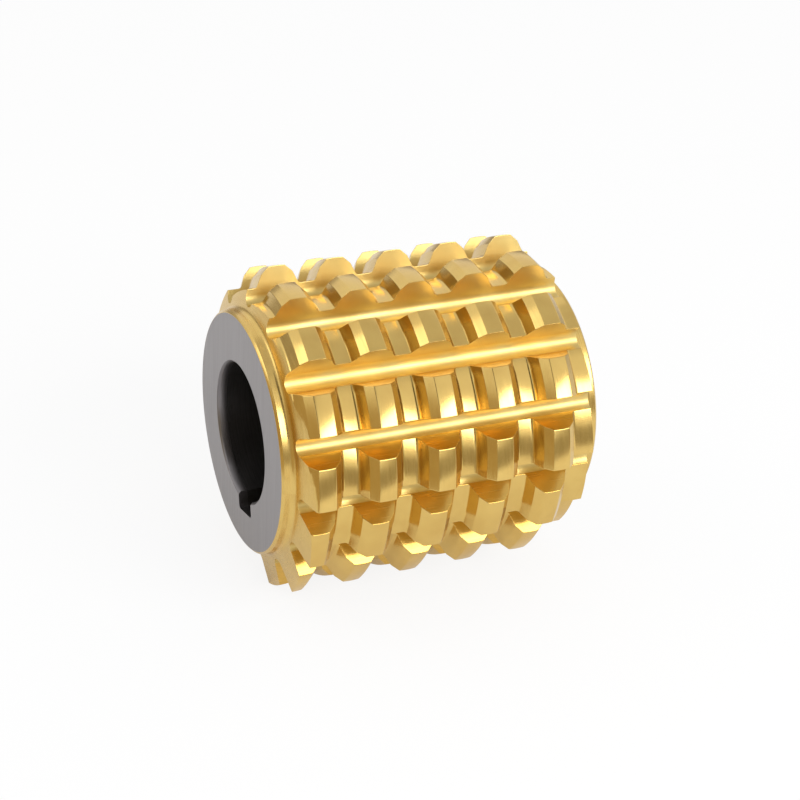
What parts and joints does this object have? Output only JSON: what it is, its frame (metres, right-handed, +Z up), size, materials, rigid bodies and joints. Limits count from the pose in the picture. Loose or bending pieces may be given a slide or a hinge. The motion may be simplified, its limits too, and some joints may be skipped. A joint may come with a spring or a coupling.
{
  "type": "gear hob",
  "caption": "Worm-shaped cutter with straight gashes, relieved rack teeth and a keyed bore, which cuts gear teeth on a hobbing machine.",
  "frame": {"origin": "on the resting surface, straight below the middle of the hob's axis", "axes": "+X along the bore axis, +Z up; the keyway points down and slightly to the front (-Y)"},
  "size_m": [0.064, 0.063, 0.0615],
  "materials": {
    "coated_steel": "ground high-speed steel with a gold titanium nitride coating, bare ground steel on the hub faces and in the bore"
  },
  "bodies": {
    "root": {"gear_hob": "coated_steel"}
  },
  "joints": []
}
